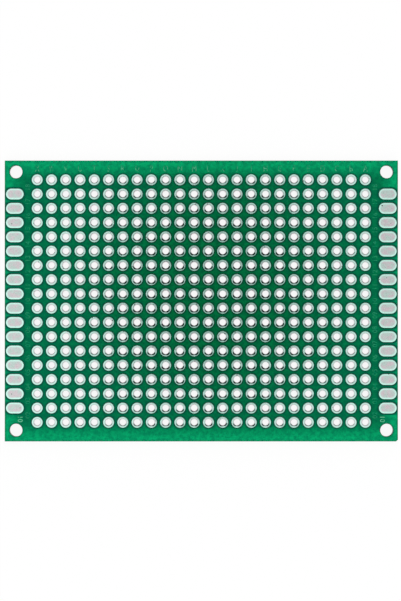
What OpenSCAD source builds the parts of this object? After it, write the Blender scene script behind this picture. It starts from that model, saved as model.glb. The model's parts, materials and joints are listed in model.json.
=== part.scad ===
// Prototype board: a drilled glass-fibre sheet with a green mask on both faces, a grid of
// plated lead holes and a row of flat contacts along each side edge.
// Origin: middle of the outline, at the underside of the tinned pads. +Z is up, out of the
// printed face, +X runs along the long edge and +Y along the short one.

/* [Board] */
// Length of the board, along X
board_l = 70; // [40:1:120]
// Width of the board, along Y
board_w = 50; // [30:1:66]
// Thickness over both mask layers
board_t = 1.6; // [0.8:0.1:2.4]
// Thickness of the green mask on each face
mask_t = 0.03; // [0.02:0.01:0.05]
// Length of the nip taken off the corner at +X and -Y
corner_nip = 0.3; // [0.1:0.1:1.2]

/* [Lead holes] */
// Distance between neighbouring lead holes, both ways
pitch = 2.54; // [2.4:0.01:3.2]
// Strip kept free of pads along each side edge
side_strip = 4.6; // [4:0.1:8]
// Strip kept free of pads along the top and bottom edges
end_strip = 1.6; // [1:0.1:4]
// Bore of a finished lead hole
hole_d = 1.1; // [0.8:0.05:1.3]
// Wall of the plating inside a lead hole
barrel_wall = 0.05; // [0.03:0.01:0.1]
// Diameter of the round pads
pad_d = 2; // [1.7:0.05:2.2]

/* [Tinned copper] */
// Height of a pad or contact above the bare sheet
pad_t = 0.06; // [0.05:0.01:0.1]
// Bevel where the tin rolls over the outer edge of a pad or contact
shoulder = 0.04; // [0.02:0.01:0.04]
// Bevel where the tin rolls over into a lead hole
lip = 0.04; // [0.02:0.01:0.04]
// Gap in the mask round each pad and contact
mask_gap = 0.05; // [0.02:0.01:0.08]

/* [Edge contacts] */
// Length of a contact, along X
contact_l = 3.2; // [2.4:0.1:3.6]
// Width of a contact, along Y
contact_w = 2; // [1.4:0.05:2.2]
// Distance from the board's side edge to the tip of a contact
contact_inset = 0.2; // [0.1:0.05:0.4]

/* [Mounting holes] */
// Diameter of the bare screw holes in the corners
mount_d = 2.3; // [1.6:0.1:2.6]
// Distance from each edge of the board to the centre of a screw hole
mount_inset = 2; // [1.8:0.1:2.2]

/* [Hidden] */
$fn = 48;

// Heights of the layers
sheet_t = board_t - 2 * mask_t;
sheet_z = pad_t;
sheet_top_z = sheet_z + sheet_t;
mid_z = sheet_z + sheet_t / 2;

// Lead holes that fit between the strips, centred on the board
columns = floor((board_l - 2 * side_strip - pad_d) / pitch) + 1;
rows = floor((board_w - 2 * end_strip - pad_d) / pitch) + 1;
drill_d = hole_d + 2 * barrel_wall;
function column_x(column) = (column - (columns - 1) / 2) * pitch;
function row_y(row) = ((rows - 1) / 2 - row) * pitch;

// Contacts stand in line with every row but the first and the last
contact_x = board_l / 2 - contact_inset - contact_l / 2;

row_letters = "abcdefghijklmnopqrstuvwxyz";
function row_name(row) = str("plated_holes_row_", row_letters[row]);

// Outline of the sheet, a rectangle with one nipped corner
module outline() {
    polygon([
        [-board_l / 2, board_w / 2],
        [-board_l / 2, -board_w / 2],
        [board_l / 2 - corner_nip, -board_w / 2],
        [board_l / 2, -board_w / 2 + corner_nip],
        [board_l / 2, board_w / 2]
    ]);
}

module at_lead_holes() {
    for (row = [0 : rows - 1], column = [0 : columns - 1])
        translate([column_x(column), row_y(row)]) children();
}

module at_mounting_holes() {
    for (x = [-1, 1], y = [-1, 1])
        translate([x * (board_l / 2 - mount_inset), y * (board_w / 2 - mount_inset)]) children();
}

module at_contacts(side) {
    for (row = [1 : rows - 2])
        translate([side * contact_x, row_y(row)]) children();
}

// Flat slot shape with round ends
module slot_shape(length, width) {
    square([length - width, width], center = true);
    for (end = [-1, 1])
        translate([end * (length - width) / 2, 0]) circle(d = width);
}

// Glass-fibre sheet, drilled for the plating and for the corner screws
module laminate() {
    color("darkkhaki")
        translate([0, 0, sheet_z]) linear_extrude(sheet_t) difference() {
            outline();
            at_lead_holes() circle(d = drill_d);
            at_mounting_holes() circle(d = mount_d);
        }
}

// Green lacquer, open round every pad, contact and screw hole
module mask_sheet() {
    color("seagreen")
        linear_extrude(mask_t) difference() {
            outline();
            at_lead_holes() circle(d = pad_d + 2 * mask_gap);
            at_mounting_holes() circle(d = mount_d);
            for (side = [-1, 1])
                at_contacts(side) slot_shape(contact_l + 2 * mask_gap, contact_w + 2 * mask_gap);
        }
}

module solder_mask_top() {
    translate([0, 0, sheet_top_z]) mask_sheet();
}

module solder_mask_bottom() {
    translate([0, 0, sheet_z - mask_t]) mask_sheet();
}

// Tinned copper lining of one lead hole with its ring pad on both faces, one piece
module plated_hole() {
    upper = [
        [hole_d / 2, sheet_t / 2 + pad_t - lip],
        [hole_d / 2 + lip, sheet_t / 2 + pad_t],
        [pad_d / 2 - shoulder, sheet_t / 2 + pad_t],
        [pad_d / 2, sheet_t / 2 + pad_t - shoulder],
        [pad_d / 2, sheet_t / 2],
        [drill_d / 2, sheet_t / 2]
    ];
    lower = [for (i = [len(upper) - 1 : -1 : 0]) [upper[i][0], -upper[i][1]]];
    color("lightgray") rotate_extrude() polygon(concat(upper, lower));
}

module plated_row(row) {
    for (column = [0 : columns - 1])
        translate([column_x(column), row_y(row), mid_z]) plated_hole();
}

// Tinned copper contact on one face of the sheet: a plate with a bevelled upper rim
module contact() {
    straight = contact_l - contact_w;
    wall_h = pad_t - shoulder;
    section = [
        [-contact_w / 2, 0],
        [contact_w / 2, 0],
        [contact_w / 2, wall_h],
        [contact_w / 2 - shoulder, pad_t],
        [-contact_w / 2 + shoulder, pad_t],
        [-contact_w / 2, wall_h]
    ];
    round_end = [
        [0, 0],
        [contact_w / 2, 0],
        [contact_w / 2, wall_h],
        [contact_w / 2 - shoulder, pad_t],
        [0, pad_t]
    ];
    color("silver") {
        translate([-straight / 2, 0, 0]) rotate([90, 0, 90]) linear_extrude(straight) polygon(section);
        for (end = [-1, 1])
            translate([end * straight / 2, 0, 0]) rotate_extrude() polygon(round_end);
    }
}

module top_contacts(side) {
    translate([0, 0, sheet_top_z]) at_contacts(side) contact();
}

module bottom_contacts(side) {
    translate([0, 0, sheet_z]) at_contacts(side) mirror([0, 0, 1]) contact();
}

module edge_contacts_left_top() top_contacts(-1);
module edge_contacts_right_top() top_contacts(1);
module edge_contacts_left_bottom() bottom_contacts(-1);
module edge_contacts_right_bottom() bottom_contacts(1);

laminate();
solder_mask_top();
solder_mask_bottom();
for (row = [0 : rows - 1])
    plated_row(row);
edge_contacts_left_top();
edge_contacts_right_top();
edge_contacts_left_bottom();
edge_contacts_right_bottom();
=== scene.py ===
import json
import math
import random

import bpy
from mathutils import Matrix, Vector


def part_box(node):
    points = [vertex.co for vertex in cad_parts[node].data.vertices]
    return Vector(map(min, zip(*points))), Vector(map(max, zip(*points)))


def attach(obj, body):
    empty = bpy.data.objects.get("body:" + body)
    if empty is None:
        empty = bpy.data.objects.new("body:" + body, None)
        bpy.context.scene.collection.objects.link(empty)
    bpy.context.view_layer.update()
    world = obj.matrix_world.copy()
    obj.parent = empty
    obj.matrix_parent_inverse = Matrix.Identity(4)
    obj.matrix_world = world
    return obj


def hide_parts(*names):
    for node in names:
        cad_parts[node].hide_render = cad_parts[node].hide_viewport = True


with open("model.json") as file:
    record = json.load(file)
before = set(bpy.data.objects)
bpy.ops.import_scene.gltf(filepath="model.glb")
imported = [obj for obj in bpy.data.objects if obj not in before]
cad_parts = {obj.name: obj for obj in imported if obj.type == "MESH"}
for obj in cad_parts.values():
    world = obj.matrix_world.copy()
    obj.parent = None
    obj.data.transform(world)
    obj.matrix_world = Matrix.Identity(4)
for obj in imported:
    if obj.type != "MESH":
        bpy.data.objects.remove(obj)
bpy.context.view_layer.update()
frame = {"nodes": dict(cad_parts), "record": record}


# Glass-fibre sheet
# The core of the board is woven glass cloth pressed together with resin and cured flat. It is
# drilled and then cut to size, so its plies show only at the cut edges and in the screw holes.
nodes = frame["nodes"]
mounts = {mount["name"]: mount["dims"] for mount in frame["record"]["mounts"]}
MM = 1000
SHEET_LOW, SHEET_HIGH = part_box("laminate")
SCREW_HOLES = mounts["mounting_holes"]
SKIN = 0.002
WALL_BAND = 0.3
PLY = 0.19
THREAD = 0.55
WEAVE_SHARE = 0.5
FIBRE = 0.06
RAGGED = 1.2
STRAND_SPAN = (-1.2, 1.4)
STRAND_ROUGH = (0.45, 0.7)
STRAND_RELIEF = 0.00002
RESIN = (0.16, 0.21, 0.075, 1)
GLASS = (0.42, 0.46, 0.27, 1)
SHADED_RESIN = (0.002, 0.055, 0.022, 1)
HOLE_WALL_SHADE = (0.012, 0.085, 0.035, 1)


def feed(entry, value):
    """Joins a worked-out value to an entry of a node, or sets the entry to a plain one."""
    if isinstance(value, Amount):
        value = value.socket
    if isinstance(value, bpy.types.NodeSocket):
        entry.id_data.links.new(value, entry)
    else:
        entry.default_value = value


class Amount:
    """A number that a finish works out at every spot of its surface."""

    def __init__(self, socket):
        self.socket = socket
        self.tree = socket.id_data

    def work_out(self, operation, *others):
        step = self.tree.nodes.new("ShaderNodeMath")
        step.operation = operation
        for entry, value in zip(step.inputs, (self, *others)):
            feed(entry, value)
        return Amount(step.outputs[0])

    def __add__(self, other):
        return self.work_out("ADD", other)

    def __sub__(self, other):
        return self.work_out("SUBTRACT", other)

    def __mul__(self, other):
        return self.work_out("MULTIPLY", other)

    def __truediv__(self, other):
        return self.work_out("DIVIDE", other)

    def __abs__(self):
        return self.work_out("ABSOLUTE")


def hypot(across, along):
    return (across * across + along * along).work_out("SQRT")


def rise(value, start, end):
    """Goes smoothly from 0 at start to 1 at end."""
    step = value.tree.nodes.new("ShaderNodeMapRange")
    step.interpolation_type = "SMOOTHSTEP"
    feed(step.inputs["Value"], value)
    step.inputs["From Min"].default_value = start
    step.inputs["From Max"].default_value = end
    return Amount(step.outputs["Result"])


def spread(share, low, high):
    """Goes from low where the share is 0 to high where it is 1."""
    return share * (high - low) + low


def tint(amount, first, second, way="MIX"):
    """Mixes a second colour into a first one."""
    mix = amount.tree.nodes.new("ShaderNodeMix")
    mix.data_type = "RGBA"
    mix.blend_type = way
    first_entry, second_entry = [entry for entry in mix.inputs if entry.type == "RGBA"]
    feed(mix.inputs["Factor"], amount)
    feed(first_entry, first)
    feed(second_entry, second)
    return next(mixed for mixed in mix.outputs if mixed.type == "RGBA")


def grain(spot, size, detail=2.0):
    """Cloudy grain from 0 to 1, with blotches of about the given size in millimetres."""
    noise = spot.id_data.nodes.new("ShaderNodeTexNoise")
    noise.inputs["Scale"].default_value = 1 / size
    noise.inputs["Detail"].default_value = detail
    feed(noise.inputs["Vector"], spot)
    return Amount(noise.outputs["Fac"])


def raise_surface(shader, height, depth):
    """Makes the surface uneven by a depth in metres."""
    bump = height.tree.nodes.new("ShaderNodeBump")
    bump.inputs["Distance"].default_value = depth
    feed(bump.inputs["Height"], height)
    feed(shader.inputs["Normal"], bump.outputs["Normal"])


def new_finish(name):
    """A finish, its shader, and the spot that it paints, in millimetres."""
    finish = bpy.data.materials.new(name)
    finish.use_nodes = True
    tree = finish.node_tree
    place = tree.nodes.new("ShaderNodeTexCoord")
    spot = tree.nodes.new("ShaderNodeVectorMath")
    spot.operation = "SCALE"
    spot.inputs["Scale"].default_value = MM
    feed(spot.inputs[0], place.outputs["Object"])
    return finish, tree.nodes["Principled BSDF"], spot.outputs["Vector"]


def sides_of(spot):
    """The X, Y and Z of a spot."""
    apart = spot.id_data.nodes.new("ShaderNodeSeparateXYZ")
    feed(apart.inputs["Vector"], spot)
    return [Amount(side) for side in apart.outputs]


def cloth(x, y):
    """The over and under of woven glass cloth, from -1 to 1."""
    along = (x * (math.pi / THREAD)).work_out("SINE")
    across = (y * (math.pi / THREAD)).work_out("SINE")
    return along * across


def from_screw_hole(x, y):
    """How far a spot lies from the rim of the nearest screw hole, in millimetres."""
    off_x = abs(x) - SCREW_HOLES["spacing_x_mm"] / 2
    off_y = abs(y) - SCREW_HOLES["spacing_y_mm"] / 2
    return hypot(off_x, off_y) - SCREW_HOLES["hole_r_mm"]


def paint(node, finish):
    """Gives a solid of the frame its finish."""
    node.data.materials.clear()
    node.data.materials.append(finish)


def laminate_finish():
    finish, shader, spot = new_finish("glass_fibre_finish")
    x, y, z = sides_of(spot)
    plies = (z * (2 * math.pi / PLY)).work_out("SINE")
    cut_ends = spread(grain(spot, FIBRE), -RAGGED, RAGGED)
    strands = rise(cloth(x, y) * WEAVE_SHARE + plies + cut_ends, *STRAND_SPAN)
    cut = tint(strands, RESIN, GLASS)
    # Painted shade: the walls of the screw holes are darker.
    cut = tint(rise(from_screw_hole(x, y), WALL_BAND, 0), cut, HOLE_WALL_SHADE)
    top = z.work_out("GREATER_THAN", SHEET_HIGH.z * MM - SKIN)
    foot = z.work_out("LESS_THAN", SHEET_LOW.z * MM + SKIN)
    face = top.work_out("MAXIMUM", foot)
    feed(shader.inputs["Base Color"], tint(face, cut, SHADED_RESIN))
    feed(shader.inputs["Roughness"], spread(strands, *STRAND_ROUGH))
    raise_surface(shader, strands, STRAND_RELIEF)
    return finish


paint(nodes["laminate"], laminate_finish())


# Solder mask
# A thin green lacquer printed on both faces and baked hard. It is left open round every pad,
# contact and screw hole. Its colour has a painted glow towards the edges, for the light that gets
# into the sheet there, and painted shade round the pads, contacts and screw holes.
ROWS = sorted(name for name in nodes if name.startswith("plated_holes_row_"))
FIRST_LOW, FIRST_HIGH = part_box(ROWS[0])
PITCH = FIRST_HIGH.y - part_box(ROWS[1])[1].y
PAD_R = (FIRST_HIGH.y - FIRST_LOW.y) / 2
GRID_HALF_X = FIRST_HIGH.x - PAD_R + PITCH / 2
GRID_HALF_Y = FIRST_HIGH.y - PAD_R + PITCH / 2
CONTACT_LOW, CONTACT_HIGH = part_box("edge_contacts_right_top")
GLOW_REACH = 3.8
EDGE_LINE = 0.5
EDGE_LINE_LEVEL = 0.62
PAD_SHADE_REACH = 0.42
CONTACT_SHADE_REACH = 0.6
TIN_SHADE_LEVEL = 0.27
SCREW_HOLE_SHADE_REACH = 0.3
SCREW_HOLE_SHADE_LEVEL = 0.4
CLOUD = 0.8
CLOUD_SPAN = (0.3, 0.7)
CLOUD_DEPTH = 0.5
MOTTLE = 0.2
MOTTLE_DEPTH = 0.7
WEAVE_DEPTH = 0.04
GLOSS_PATCH = 1.5
MASK_ROUGH = (0.05, 0.13)
RIPPLE = 0.5
RIPPLE_RELIEF = 0.000003
WEAVE_RELIEF = 0.2
SHEEN = 0.7
SHEEN_TINT = (0.01, 1, 0.8, 1)
LACQUER = (0.0005, 0.103, 0.020, 1)
EDGE_GLOW = (0.0012, 0.19, 0.072, 1)


def darken(colour, amount):
    """Multiplies a colour by an amount."""
    shade = amount.tree.nodes.new("ShaderNodeVectorMath")
    shade.operation = "SCALE"
    feed(shade.inputs[0], colour)
    feed(shade.inputs["Scale"], amount)
    return shade.outputs["Vector"]


def from_line(place):
    """How far a spot lies from the middle of the nearest row or column. Both counts are even."""
    share = (place / (PITCH * MM)).work_out("FRACT")
    return abs(share - 0.5) * (PITCH * MM)


def from_tin(x, y):
    """How far a spot lies from the nearest pad and from the nearest contact, in millimetres."""
    pad_r = PAD_R * MM
    column_off = from_line(x)
    row_off = from_line(y)
    beside = abs(x).work_out("GREATER_THAN", GRID_HALF_X * MM)
    beyond = abs(y).work_out("GREATER_THAN", GRID_HALF_Y * MM)
    no_pad = beside.work_out("MAXIMUM", beyond)
    from_pad = hypot(column_off, row_off) - pad_r + no_pad * (PITCH * MM)
    middle = (CONTACT_LOW.x + CONTACT_HIGH.x) / 2 * MM
    straight = (CONTACT_HIGH.x - CONTACT_LOW.x) / 2 * MM - pad_r
    past_end = (abs(abs(x) - middle) - straight).work_out("MAXIMUM", 0.0)
    no_contact = abs(y).work_out("GREATER_THAN", (GRID_HALF_Y - PITCH) * MM)
    from_contact = hypot(past_end, row_off) - pad_r + no_contact * (PITCH * MM)
    return from_pad, from_contact


def mask_finish():
    finish, shader, spot = new_finish("solder_mask_finish")
    x, y = sides_of(spot)[:2]
    from_side = abs(x) * -1 + SHEET_HIGH.x * MM
    from_end = abs(y) * -1 + SHEET_HIGH.y * MM
    from_edge = from_side.work_out("MINIMUM", from_end)
    from_pad, from_contact = from_tin(x, y)
    # Painted shade: the lacquer is darker round every pad and contact.
    out_of_contact_shade = rise(from_contact, 0, CONTACT_SHADE_REACH)
    # Painted glow: the lacquer is lighter near the board's edges and less so beside the contacts.
    glow = rise(from_edge, GLOW_REACH, 0) * out_of_contact_shade
    lacquer = tint(glow, LACQUER, EDGE_GLOW, "ADD")
    edge_line = spread(rise(from_edge, 0, EDGE_LINE), EDGE_LINE_LEVEL, 1)
    tin_shade = spread(rise(from_pad, 0, PAD_SHADE_REACH) * out_of_contact_shade, TIN_SHADE_LEVEL, 1)
    # Painted shade: the lacquer is darker round the screw holes.
    screw_hole_shade = spread(rise(from_screw_hole(x, y), 0, SCREW_HOLE_SHADE_REACH), SCREW_HOLE_SHADE_LEVEL, 1)
    clouds = (rise(grain(spot, CLOUD, 3.0), *CLOUD_SPAN) - 0.5) * CLOUD_DEPTH
    mottle = (grain(spot, MOTTLE) - 0.5) * MOTTLE_DEPTH
    thickness = cloth(x, y) * WEAVE_DEPTH + clouds + mottle + 1
    feed(shader.inputs["Base Color"], darken(lacquer, thickness * tin_shade * screw_hole_shade * edge_line))
    shader.inputs["Specular Tint"].default_value = SHEEN_TINT
    shader.inputs["Specular IOR Level"].default_value = SHEEN
    feed(shader.inputs["Roughness"], spread(grain(spot, GLOSS_PATCH), *MASK_ROUGH))
    raise_surface(shader, cloth(x, y) * WEAVE_RELIEF + grain(spot, RIPPLE), RIPPLE_RELIEF)
    return finish


MASK_FINISH = mask_finish()
for face in ("solder_mask_top", "solder_mask_bottom"):
    paint(nodes[face], MASK_FINISH)


# Plated holes
# Each drilled hole is lined with copper that rolls out into a ring on both faces. It is dipped in
# molten solder and blown clean with hot air. The tin sets with a soft roll at every edge, and
# mostly in mid-board it sags into the holes along their front side, where a dark reflection is
# painted on it. Each ring also has a painted highlight round its outer part and a painted
# reflection of the green mask at its foot.
BORE_R = mounts["lead_hole_grid"]["hole_r_mm"] / MM
COLUMNS = round((FIRST_HIGH.x - FIRST_LOW.x - 2 * PAD_R) / PITCH) + 1
TIN_TOP = FIRST_HIGH.z
MID_Z = (FIRST_LOW.z + FIRST_HIGH.z) / 2
TURNS = 32
CREASE_DEG = 60
LINING = 0.00005
BORE_ROUND = 0.00002
LIP = 0.00006
LIP_DROP = 0.000008
LIP_CURVE = 2.2
DARK_REFLECTION_SAG = 0.00021
DARK_REFLECTION_FLAT = 0.33
LIP_STEPS = ((1, 0.35), (0.75, 1), (0.5, 1), (0.25, 0.933), (0, DARK_REFLECTION_FLAT))
FLAT_LEAST = 0.00006
FLAT_END = 0.00002
CROWN = 0.0000003
ROLL = 0.00006
ROLL_STEP_DEG = 45
SAG = 0.00031
SAG_SPREAD = (0.85, 1.1)
SAG_MIDDLE_X = 0.002
SAG_REACH_X = 0.0225
SAG_REACH_Y = 0.027
SAG_DROP = 0.16
DEEPEST = 0.000055
SAG_LOBES = ((225, 0.95), (270, 0.42), (319, 1.1))
LOBE_SPREAD = (0.75, 1.15)
LOBE_SWAY_DEG = 6
LOBE_END = math.cos(math.radians(40))
LOBE_CORE = math.cos(math.radians(16))
DARK_PATCH_SHARE = 0.17
DARK_PATCH_SIDE_DEG = (50, 130)
DARK_PATCH_LEAST_SAG = 0.6
DARK_PATCH_LEVELS = (1.0, 0.5)
BRIGHT_FROM = 0.00062
BRIGHT_TO = 0.00084
FOOT = 0.00008
BLOTCH = 0.7
BLOTCH_SPAN = (0.35, 0.65)
TARNISH = 0.35
TARNISH_LEVELS = (0.9, 1.1)
SPECK = 0.1
SPECK_SPAN = (0.7, 0.78)
STAIN = 0.4
STAIN_SPAN = (0.8, 0.84)
POLISH = 0.25
TIN_ROUGH = (0.05, 0.15)
PIT = 0.12
PIT_DEPTH = 0.0000008
WARM_TIN = (0.62, 0.55, 0.58, 1)
COOL_TIN = (0.50, 0.62, 0.58, 1)
TIN_RIM_HIGHLIGHT = (0.60, 0.98, 0.86, 1)
TIN_FOOT_REFLECTION = (0.005, 0.22, 0.12, 1)
DARK_REFLECTION_TIN = (0.015, 0.025, 0.02, 1)
FLUX_SPECK = (0.1, 0.13, 0.11, 1)
pour = random.Random(11)


def stored(shader, name):
    """A number kept at each point of a mesh piece."""
    attribute = shader.id_data.nodes.new("ShaderNodeAttribute")
    attribute.attribute_name = name
    return Amount(attribute.outputs["Fac"])


def tin_finish():
    finish, shader, spot = new_finish("tinned_copper_finish")
    rim = stored(shader, "rim")
    blotches = rise(grain(spot, BLOTCH, 3.0), *BLOTCH_SPAN)
    metal = tint(blotches, WARM_TIN, COOL_TIN)
    # Painted highlight round the outer part of each ring and contact.
    metal = tint(rim, metal, TIN_RIM_HIGHLIGHT)
    metal = darken(metal, spread(grain(spot, TARNISH, 3.0), *TARNISH_LEVELS))
    # Painted reflection of the green mask at the foot of the rim.
    metal = tint(rise(rim, 1, 2), metal, TIN_FOOT_REFLECTION)
    # Painted dark reflection where the tin sags into the holes.
    metal = tint(stored(shader, "dark_reflection"), metal, DARK_REFLECTION_TIN)
    inside = rim * -1 + 1
    specks = rise(grain(spot, SPECK, 1.0), *SPECK_SPAN) * inside
    stains = rise(grain(spot, STAIN, 0.0), *STAIN_SPAN)
    metal = tint(specks.work_out("MAXIMUM", stains), metal, FLUX_SPECK)
    feed(shader.inputs["Base Color"], metal)
    shader.inputs["Metallic"].default_value = 1.0
    feed(shader.inputs["Roughness"], spread(grain(spot, POLISH, 4.0), *TIN_ROUGH))
    raise_surface(shader, grain(spot, PIT, 3.0), PIT_DEPTH)
    return finish


def rise_between(value, start, end):
    """The same smooth rise as above, for a plain number."""
    share = min(1.0, max(0.0, (value - start) / (end - start)))
    return share * share * (3 - 2 * share)


def half_ring(sag, dark_patched):
    """The upper half of a lined hole's section, from the bore out to the foot of its ring: the
    radius, the height over the middle of the sheet, and how much painted dark reflection it has there."""
    drop = min(DEEPEST, LIP_DROP + SAG_DROP * sag)
    dark_reflection = min(1.0, sag / DARK_REFLECTION_SAG)
    crest = TIN_TOP - MID_Z
    face = SHEET_HIGH.z - MID_Z
    flat_to = PAD_R - ROLL
    flat_from = min(BORE_R + LIP + sag, flat_to - FLAT_LEAST)
    lip = flat_from - BORE_R
    section = [(BORE_R, crest - CROWN - drop - BORE_ROUND, 0.0)]
    for share, dark_share in LIP_STEPS:
        down = drop * (1 - (1 - share) ** LIP_CURVE)
        section.append((flat_from - lip * share, crest - CROWN - down, dark_reflection * dark_share))
    inner_dark, outer_dark = DARK_PATCH_LEVELS if dark_patched else (dark_reflection * DARK_REFLECTION_FLAT, dark_reflection * DARK_REFLECTION_FLAT)
    section.append((flat_from + FLAT_END, crest, inner_dark))
    section.append((flat_to - FLAT_END, crest, outer_dark))
    section.append((flat_to, crest - CROWN, 0.0))
    turn = math.radians(ROLL_STEP_DEG)
    fall = (crest - CROWN - face) * (1 - math.cos(turn))
    section.append((flat_to + ROLL * math.sin(turn), crest - CROWN - fall, 0.0))
    section.append((PAD_R, face, 0.0))
    section.append((BORE_R + LINING, face, 0.0))
    return section


class Tin:
    """A tinned mesh in the making: its corners and faces, the share of painted highlight at each
    corner, which goes on to 2 where a reflection of the green mask is painted at the foot of the rim,
    and how much painted dark reflection it has there."""

    def __init__(self):
        self.points = []
        self.faces = []
        self.rims = []
        self.dark_reflections = []

    def add_corner(self, place, rim, dark_reflection=0.0):
        self.points.append(place)
        self.rims.append(rim)
        self.dark_reflections.append(dark_reflection)

    def make(self, name):
        """The finished piece, smooth but for its creases."""
        mesh = bpy.data.meshes.new(name)
        mesh.from_pydata(self.points, [], self.faces)
        mesh.shade_smooth()
        mesh.set_sharp_from_angle(angle=math.radians(CREASE_DEG))
        mesh.attributes.new("rim", "FLOAT", "POINT").data.foreach_set("value", self.rims)
        mesh.attributes.new("dark_reflection", "FLOAT", "POINT").data.foreach_set("value", self.dark_reflections)
        mesh.materials.append(TIN_FINISH)
        piece = bpy.data.objects.new(name, mesh)
        bpy.context.scene.collection.objects.link(piece)
        return piece


def plated_hole(x, y, sag, tin):
    """Adds one lined hole with its two rings."""
    start = len(tin.points)
    sway = pour.uniform(-LOBE_SWAY_DEG, LOBE_SWAY_DEG)
    lobes = [(math.radians(side + sway), most * pour.uniform(*LOBE_SPREAD)) for side, most in SAG_LOBES]
    # Some rings get a darker patch on their flat at one turn, in the same colour as the painted dark
    # reflection.
    dark_patch_turn = round(pour.uniform(*DARK_PATCH_SIDE_DEG) / 360 * TURNS)
    has_dark_patch = pour.random() < DARK_PATCH_SHARE and sag > DARK_PATCH_LEAST_SAG * SAG
    for turn in range(TURNS):
        angle = 2 * math.pi * turn / TURNS
        across, along = math.cos(angle), math.sin(angle)
        sunk = max(most * rise_between(math.cos(angle - side), LOBE_END, LOBE_CORE) for side, most in lobes)
        upper = half_ring(sag * sunk, has_dark_patch and turn == dark_patch_turn)
        lower = [(radius, -height, dark_reflection) for radius, height, dark_reflection in reversed(upper)]
        for radius, height, dark_reflection in lower + upper:
            # The share of painted highlight, going on to 2 where the foot's painted reflection lies.
            rim = rise_between(radius, BRIGHT_FROM, BRIGHT_TO) + rise_between(radius, PAD_R - FOOT, PAD_R)
            tin.add_corner((x + radius * across, y + radius * along, MID_Z + height), rim, dark_reflection)
    count = (len(tin.points) - start) // TURNS
    for turn in range(TURNS):
        here = start + turn * count
        there = start + (turn + 1) % TURNS * count
        for step in range(count):
            after = (step + 1) % count
            tin.faces.append((here + step, there + step, there + after, here + after))


def plated_row(node):
    """One row of plated holes, in the place of the frame's own row."""
    low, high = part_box(node)
    row_y = (low.y + high.y) / 2
    tin = Tin()
    for column in range(COLUMNS):
        hole_x = low.x + PAD_R + column * PITCH
        off_x = (hole_x - SAG_MIDDLE_X) / SAG_REACH_X
        off_y = row_y / SAG_REACH_Y
        sag = SAG * math.exp(-off_x ** 4 - off_y ** 2) * pour.uniform(*SAG_SPREAD)
        plated_hole(hole_x, row_y, sag, tin)
    return tin.make(node.replace("plated_holes", "tinned_holes"))


TIN_FINISH = tin_finish()
for node in ROWS:
    row = plated_row(node)
    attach(row, "root")
    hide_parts(node)


# Edge contacts
# Flat slots of the same tinned copper, one in line with each inner row along both side edges,
# on both faces. They are bonded to the sheet and have no hole.
CONTACT_R = PAD_R
ENDS = 20
INSETS = (0.0, 0.00001, 0.00003, 0.00006, 0.0001, 0.00018, 0.00028, 0.00045, 0.00065, 0.00085)
CROWN_INSET = 0.00084
BRIGHT_INSETS = (0.00014, 0.000392)


def contact_outline(straight, inset):
    """A slot's outline, drawn in by a distance."""
    outline = []
    reach = CONTACT_R - inset
    for side in (1, -1):
        for step in range(ENDS + 1):
            angle = math.radians(-90 + 180 * step / ENDS)
            across = side * (straight / 2 + reach * math.cos(angle))
            outline.append((across, side * reach * math.sin(angle)))
    return outline


def contact_height(inset):
    """The tin's height over the sheet, at a distance in from the rim."""
    full = TIN_TOP - SHEET_HIGH.z
    if inset < ROLL:
        return full * math.sqrt(1 - (1 - inset / ROLL) ** 2)
    return full - CROWN * rise_between(inset, ROLL, CROWN_INSET)


def add_contact(x, y, straight, base_z, up, tin):
    """Adds one contact on the face that looks up or down."""
    start = len(tin.points)
    for inset in INSETS:
        outline = contact_outline(straight, inset)
        # Painted reflection of the green mask at the rim's foot, with a painted highlight just inside it.
        rim = 2 - rise_between(inset, *BRIGHT_INSETS) - rise_between(inset, 0, ROLL)
        for across, along in outline:
            tin.add_corner((x + across, y + up * along, base_z + up * contact_height(inset)), rim)
    count = len(outline)
    for ring in range(len(INSETS) - 1):
        here = start + ring * count
        for step in range(count):
            after = (step + 1) % count
            tin.faces.append((here + step, here + after, here + count + after, here + count + step))
    last = start + (len(INSETS) - 1) * count
    tin.faces.append(tuple(last + step for step in range(count)))
    tin.faces.append(tuple(start + step for step in reversed(range(count))))


def contact_row(node):
    """One side's contacts on one face, in the place of the frame's own."""
    low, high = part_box(node)
    x = (low.x + high.x) / 2
    straight = high.x - low.x - 2 * CONTACT_R
    up = 1 if high.z > MID_Z else -1
    base_z = low.z if up > 0 else high.z
    count = round((high.y - low.y - 2 * CONTACT_R) / PITCH) + 1
    tin = Tin()
    for place in range(count):
        add_contact(x, high.y - CONTACT_R - place * PITCH, straight, base_z, up, tin)
    return tin.make(node.replace("edge", "tinned_edge"))


for side in ("left", "right"):
    for face in ("top", "bottom"):
        node = f"edge_contacts_{side}_{face}"
        row = contact_row(node)
        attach(row, "root")
        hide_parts(node)


# Printed letters and numbers
# A coordinate grid in thin pale ink on the upper mask: a letter over each column, counted from
# the right, and a number beside each row on both sides, turned to read upwards. The ink is
# patchy, thin at the top of the letters and thinnest in all numbers but the strong first one.
INK_T = 0.00001
LETTER_H = 0.0011
NUMBER_H = 0.00085
LETTER_SHARE = 0.75
NUMBER_SHARE = 1.0
WIDEST = 0.00085
CURVE_STEPS = 3
HALF_DEEP = 0.5
LETTER_Y = 0.0236
NUMBER_X = 0.0309
FIRST_NUMBER_X = 0.03224
FIRST_NUMBER_Y = -0.0211
LETTER_INK = 0.65
NUMBER_INK = 0.16
FIRST_NUMBER_INK = 4.0
TOP_INK = 0.2
INK_PATCH = 0.45
INK_SPAN = (0.36, 0.64)
INK_ROUGH = (0.15, 0.45)
INK_RELIEF = 0.000002
MASK_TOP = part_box("solder_mask_top")[1].z
INK = (0.16, 0.52, 0.31, 1)
BARE_MASK = (0.001, 0.2, 0.075, 1)


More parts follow.
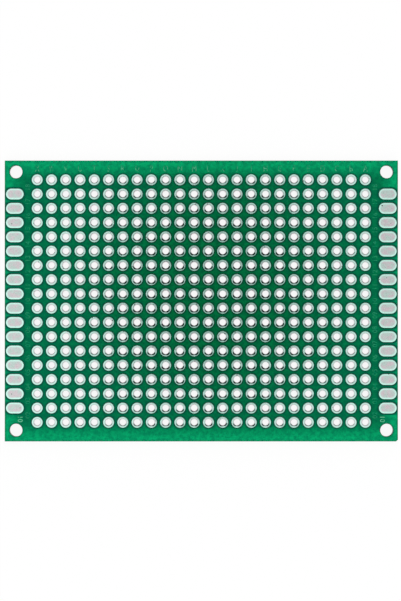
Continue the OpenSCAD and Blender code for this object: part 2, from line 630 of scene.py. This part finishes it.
def ink_finish():
    finish, shader, spot = new_finish("legend_ink_finish")
    y = sides_of(spot)[1]
    cover = rise(grain(spot, INK_PATCH), *INK_SPAN)
    below_top = spread(rise(y, (LETTER_Y + LETTER_H / 2) * MM, LETTER_Y * MM), TOP_INK, 1)
    laid = (cover * below_top * stored(shader, "ink")).work_out("MINIMUM", 1.0)
    feed(shader.inputs["Base Color"], tint(laid, BARE_MASK, INK))
    shader.inputs["Specular Tint"].default_value = SHEEN_TINT
    feed(shader.inputs["Roughness"], spread(cover, *INK_ROUGH))
    raise_surface(shader, cover, INK_RELIEF)
    return finish


def drawn(words):
    """The corners and faces of plain lettering, one flat run of it, from Blender's own letters."""
    letters = bpy.data.curves.new("mark", "FONT")
    letters.body = words
    letters.resolution_u = CURVE_STEPS
    letters.extrude = HALF_DEEP
    written = bpy.data.objects.new("mark", letters)
    bpy.context.scene.collection.objects.link(written)
    bpy.context.view_layer.update()
    shape = written.to_mesh()
    corners = [corner.co.copy() for corner in shape.vertices]
    faces = [tuple(face.vertices) for face in shape.polygons]
    bpy.data.objects.remove(written)
    return corners, faces


def print_marks(name, marks, turned=False):
    """One printed piece, from the words, height, place and strength of ink of each of its marks."""
    points, faces, inks = [], [], []
    share = NUMBER_SHARE if turned else LETTER_SHARE
    for words, height, x, y, ink in marks:
        corners, sides = drawn(words)
        low_x, high_x = min(c.x for c in corners), max(c.x for c in corners)
        low_y, high_y = min(c.y for c in corners), max(c.y for c in corners)
        tall = height / (high_y - low_y)
        wide = min(tall * share, WIDEST * len(words) / (high_x - low_x))
        start = len(points)
        for corner in corners:
            across = (corner.x - (low_x + high_x) / 2) * wide
            along = (corner.y - (low_y + high_y) / 2) * tall
            if turned:
                across, along = -along, across
            points.append((x + across, y + along, MASK_TOP + (corner.z + HALF_DEEP) * INK_T))
            inks.append(ink)
        faces += [tuple(start + corner for corner in side) for side in sides]
    mesh = bpy.data.meshes.new(name)
    mesh.from_pydata(points, [], faces)
    mesh.attributes.new("ink", "FLOAT", "POINT").data.foreach_set("value", inks)
    mesh.materials.append(INK_FINISH)
    piece = bpy.data.objects.new(name, mesh)
    bpy.context.scene.collection.objects.link(piece)
    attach(piece, "root")


INK_FINISH = ink_finish()
column_marks = []
for column in range(COLUMNS):
    letter = chr(ord("A") + column)
    column_x = FIRST_HIGH.x - PAD_R - column * PITCH
    column_marks.append((letter, LETTER_H, column_x, LETTER_Y, LETTER_INK))
print_marks("column_letters", column_marks)
for side, name in ((-1, "row_numbers_left"), (1, "row_numbers_right")):
    row_marks = [("01", NUMBER_H, side * FIRST_NUMBER_X, FIRST_NUMBER_Y, FIRST_NUMBER_INK)]
    for number in range(2, len(ROWS) + 1):
        between_y = -GRID_HALF_Y + (number - 1) * PITCH
        row_marks.append((f"{number:02d}", NUMBER_H, side * NUMBER_X, between_y, NUMBER_INK))
    print_marks(name, row_marks, turned=True)


# Bench, light and camera
# The board lies on a plain white bench in a soft white light box. The box has a dimmer opening
# overhead, where the camera looks in, a dark flag high on its far side and dimmer walls.
BENCH_HALF = 0.6
BENCH_GLOW = 0.91
BENCH_GREY = 0.8
PHOTO_W = 401
PHOTO_H = 601
SENSOR = 36.0
CAMERA_HEIGHT = 0.5
PX_PER_MM = 5.617
BOARD_PX_X = 201.32
BOARD_PX_Y = 301.0
OPENING_DEG = (1.6, 3.3)
OPENING_LEAN = (0.25, 0.3)
OPENING_LEVEL = 0.33
FLAG_FROM_DEG = (5, 8)
FLAG_TO_DEG = (43, 34)
FLAG_WIDTH = (0.1, 0.35)
FLAG_LEVEL = 0.3
WALL_DEG = (40, 75)
WALL_LEVEL = 0.7
LEFT_LEVEL = 1.1
RIGHT_LEVEL = 0.99
SIDE_TURN = 0.1


def bench():
    mesh = bpy.data.meshes.new("bench")
    corners = [(x * BENCH_HALF, y * BENCH_HALF, 0) for x, y in ((-1, -1), (1, -1), (1, 1), (-1, 1))]
    mesh.from_pydata(corners, [], [(0, 1, 2, 3)])
    finish = bpy.data.materials.new("bench_finish")
    finish.use_nodes = True
    tree = finish.node_tree
    tree.nodes.remove(tree.nodes["Principled BSDF"])
    ray = tree.nodes.new("ShaderNodeLightPath")
    straight = Amount(ray.outputs["Is Camera Ray"]).work_out("MAXIMUM", ray.outputs["Is Glossy Ray"])
    straight = straight.work_out("MAXIMUM", ray.outputs["Is Transmission Ray"])
    shadowed = tree.nodes.new("ShaderNodeBsdfDiffuse")
    shadowed.inputs["Color"].default_value = (1 - BENCH_GLOW, 1 - BENCH_GLOW, 1 - BENCH_GLOW, 1)
    glow = tree.nodes.new("ShaderNodeEmission")
    glow.inputs["Strength"].default_value = BENCH_GLOW
    white = tree.nodes.new("ShaderNodeAddShader")
    feed(white.inputs[0], shadowed.outputs[0])
    feed(white.inputs[1], glow.outputs[0])
    plain = tree.nodes.new("ShaderNodeBsdfDiffuse")
    plain.inputs["Color"].default_value = (BENCH_GREY, BENCH_GREY, BENCH_GREY, 1)
    choice = tree.nodes.new("ShaderNodeMixShader")
    feed(choice.inputs[0], straight)
    feed(choice.inputs[1], plain.outputs[0])
    feed(choice.inputs[2], white.outputs[0])
    feed(tree.nodes["Material Output"].inputs["Surface"], choice.outputs[0])
    mesh.materials.append(finish)
    top = bpy.data.objects.new("bench", mesh)
    bpy.context.scene.collection.objects.link(top)


def light_box():
    world = bpy.data.worlds.new("light_box")
    bpy.context.scene.world = world
    world.use_nodes = True
    tree = world.node_tree
    ray = tree.nodes.new("ShaderNodeLightPath")
    way = tree.nodes.new("ShaderNodeTexCoord")
    x, y, z = sides_of(way.outputs["Generated"])
    lean_x, lean_y = [math.sin(math.radians(lean)) for lean in OPENING_LEAN]
    from_axis = x * lean_x + y * lean_y + z * math.sqrt(1 - lean_x ** 2 - lean_y ** 2)
    from_axis = from_axis.work_out("ARCCOSINE").work_out("DEGREES")
    opening = spread(rise(from_axis, *OPENING_DEG), OPENING_LEVEL, 1)
    tilt = z.work_out("ARCCOSINE").work_out("DEGREES")
    ahead = rise(y / hypot(x, y), *FLAG_WIDTH)
    flagged = rise(tilt, *FLAG_FROM_DEG) * rise(tilt, *FLAG_TO_DEG) * ahead
    flag = spread(flagged, 1, FLAG_LEVEL)
    walls = spread(rise(tilt, *WALL_DEG), 1, WALL_LEVEL)
    sides = spread(rise(x, SIDE_TURN, -SIDE_TURN), RIGHT_LEVEL, LEFT_LEVEL)
    mirrored = opening * sides * flag.work_out("MINIMUM", walls)
    strength = spread(Amount(ray.outputs["Is Glossy Ray"]), 1, mirrored)
    feed(tree.nodes["Background"].inputs["Strength"], strength)
    tree.nodes["Background"].inputs["Color"].default_value = (1, 1, 1, 1)


def camera():
    lens = bpy.data.cameras.new("camera")
    lens.sensor_width = SENSOR
    lens.lens = PX_PER_MM * MM * CAMERA_HEIGHT * SENSOR / PHOTO_H
    eye = bpy.data.objects.new("camera", lens)
    bpy.context.scene.collection.objects.link(eye)
    off_x = (PHOTO_W / 2 - BOARD_PX_X) / PX_PER_MM / MM
    off_y = (BOARD_PX_Y - PHOTO_H / 2) / PX_PER_MM / MM
    eye.location = (off_x, off_y, TIN_TOP + CAMERA_HEIGHT)
    bpy.context.scene.camera = eye


bench()
light_box()
camera()
bpy.context.scene.view_settings.view_transform = "Standard"
